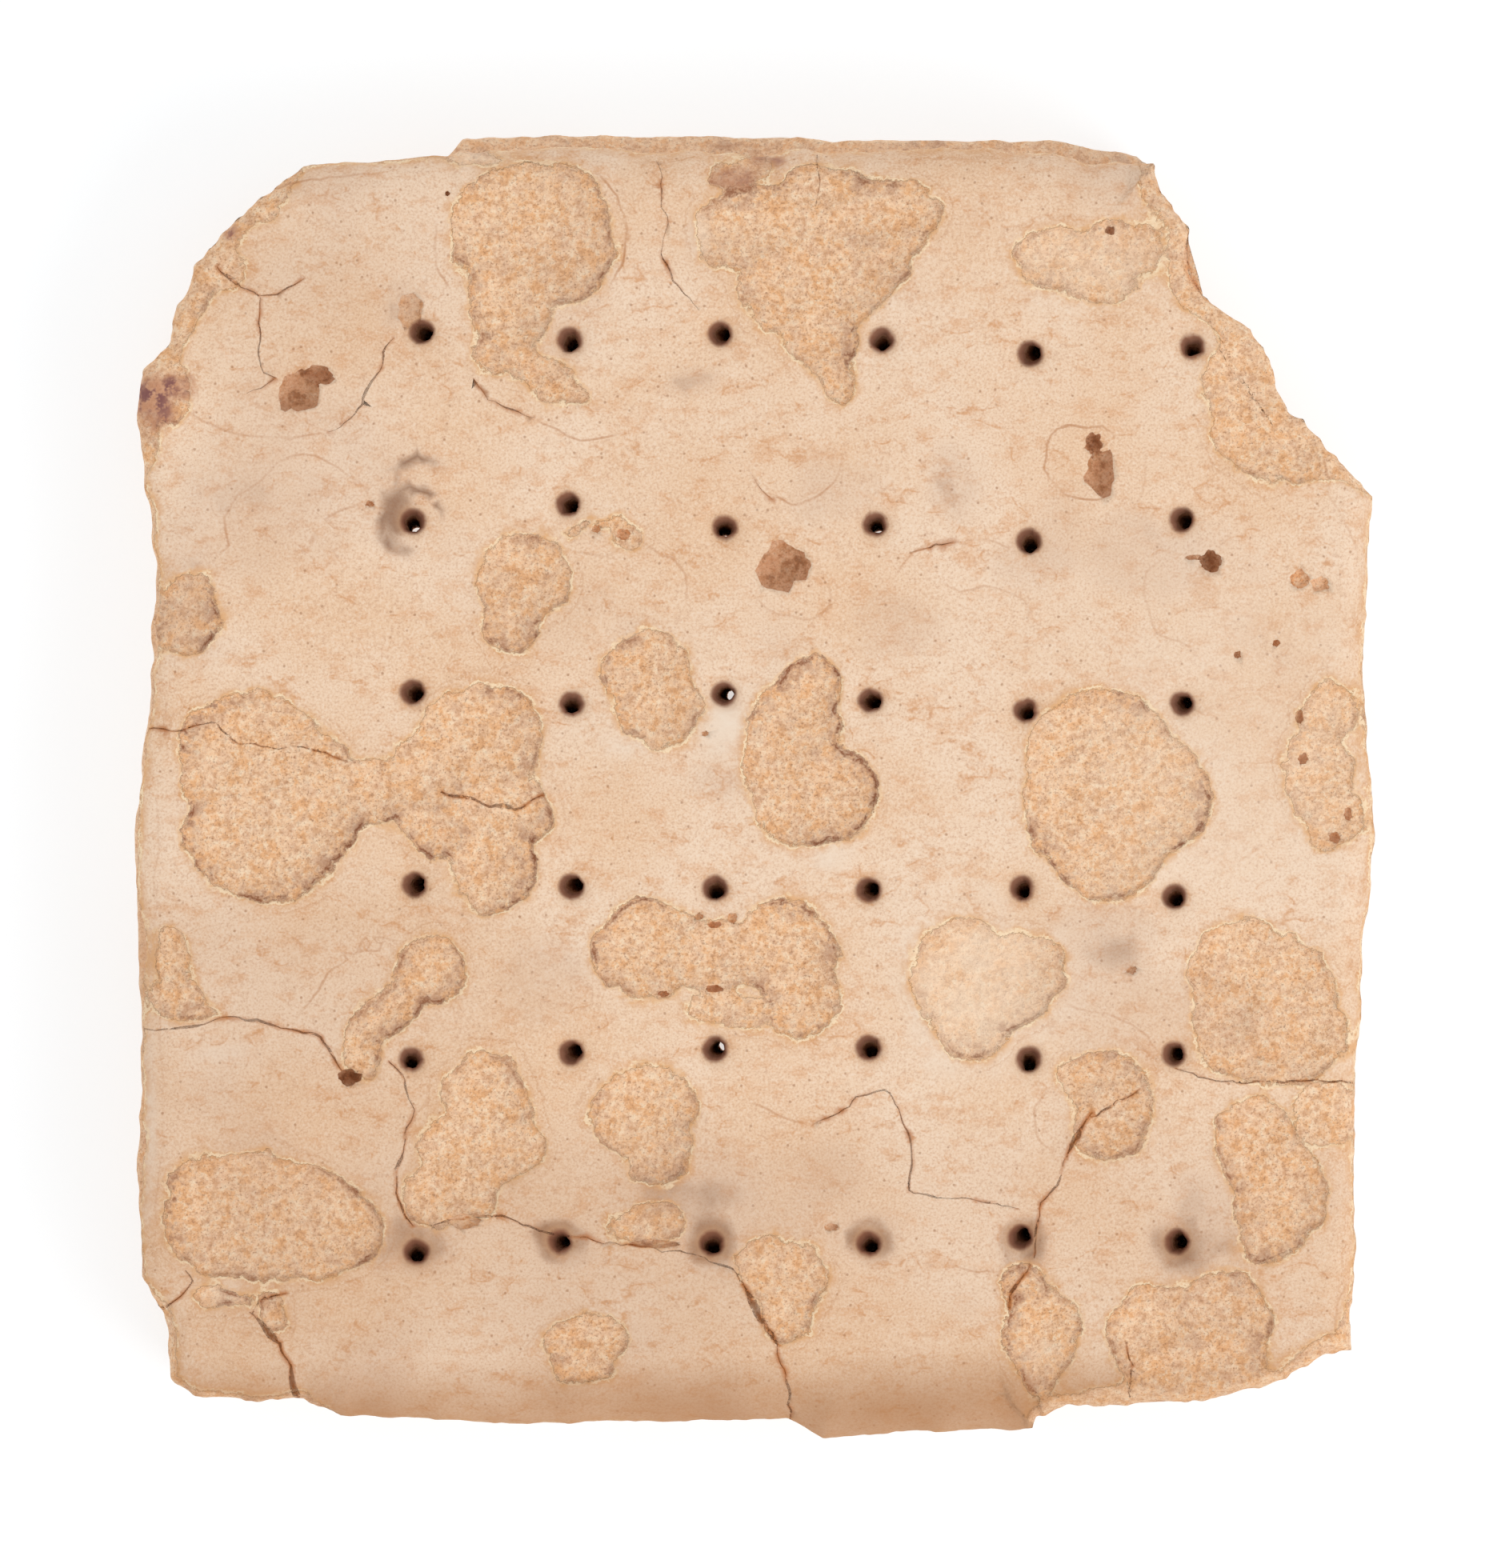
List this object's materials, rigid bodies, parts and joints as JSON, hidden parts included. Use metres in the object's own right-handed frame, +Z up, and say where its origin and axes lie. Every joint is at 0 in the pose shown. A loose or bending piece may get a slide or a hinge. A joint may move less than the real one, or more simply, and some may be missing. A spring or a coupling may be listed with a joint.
{
  "type": "hardtack biscuit",
  "caption": "Square army hardtack biscuit: a flat, dry, hard-baked cracker with rows of docker holes, flaked skin, cracks and broken corners.",
  "frame": {"origin": "centre of the flat underside's bounding box", "axes": "+Z up through the docked top face, +Y along the longer side to the edge whose lower layer stands out, +X to the right seen from above"},
  "size_m": [0.0746, 0.0782, 0.0116],
  "materials": {
    "baked_dough": "dry matte baked dough: pale smooth skin, grainy tan crumb where it has flaked"
  },
  "bodies": {
    "root": {"hardtack": "baked_dough"}
  },
  "joints": []
}
